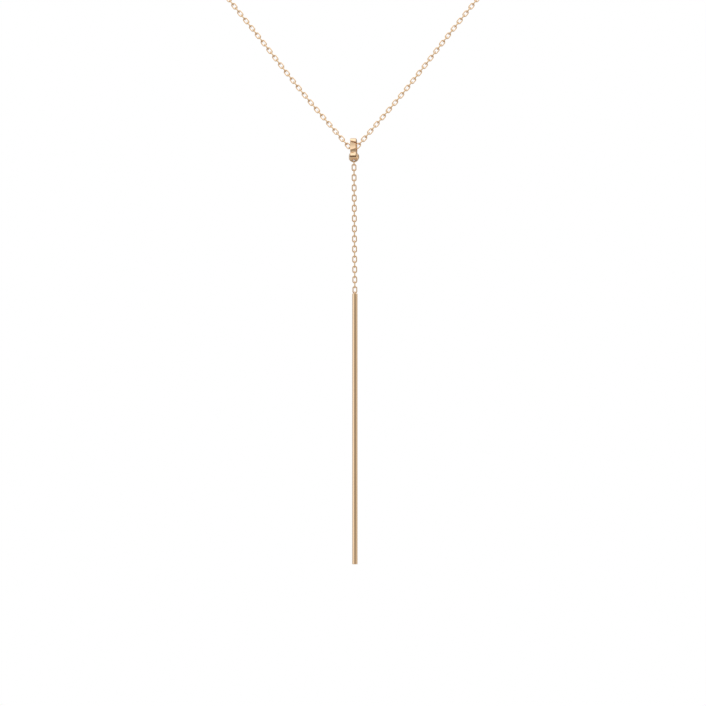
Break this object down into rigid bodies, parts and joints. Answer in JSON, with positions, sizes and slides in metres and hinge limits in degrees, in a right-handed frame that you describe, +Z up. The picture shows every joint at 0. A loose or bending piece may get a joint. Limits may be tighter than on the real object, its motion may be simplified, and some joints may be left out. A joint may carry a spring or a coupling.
{
  "type": "y necklace",
  "caption": "Fine cable chain Y necklace: two neck strands meet in a small lobster clasp, from which a short chain carries a slim round bar.",
  "frame": {"origin": "middle of the back clasp, where the necklace sits at the nape of the neck", "axes": "+Z up, -Y forwards to the viewer, +X to the viewer's right; the bar hangs along -Z"},
  "size_m": [0.1102, 0.1176, 0.1936],
  "materials": {
    "chain": "polished",
    "clasp": "polished",
    "bar": "polished"
  },
  "bodies": {
    "neck_chain": {"right_strand": "chain", "left_strand": "chain", "right_back_chain": "chain", "left_back_chain": "chain", "back_clasp": "clasp", "centre_link": "chain"},
    "drop": {"clasp_body": "clasp", "clasp_pin": "clasp", "drop_ring": "chain", "drop_chain": "chain"},
    "lever": {"clasp_lever": "clasp"},
    "bar": {"bar": "bar"}
  },
  "joints": [
    {"name": "drop_swing", "type": "hinge", "parent": "neck_chain", "child": "drop", "pos_m": [0.00015, -0.114, -0.08404], "axis": [1, 0, 0], "range_deg": [-30, 30]},
    {"name": "lever_press", "type": "hinge", "parent": "drop", "child": "lever", "pos_m": [0.00014, -0.1149, -0.08639], "axis": [-0.9939, 0.1045, -0.0349], "range_deg": [0, 10], "stiffness_Nm_per_rad": 0.001},
    {"name": "bar_swing", "type": "hinge", "parent": "drop", "child": "bar", "pos_m": [0.00051, -0.11401, -0.12194], "axis": [1, 0, 0], "range_deg": [-30, 30]}
  ]
}
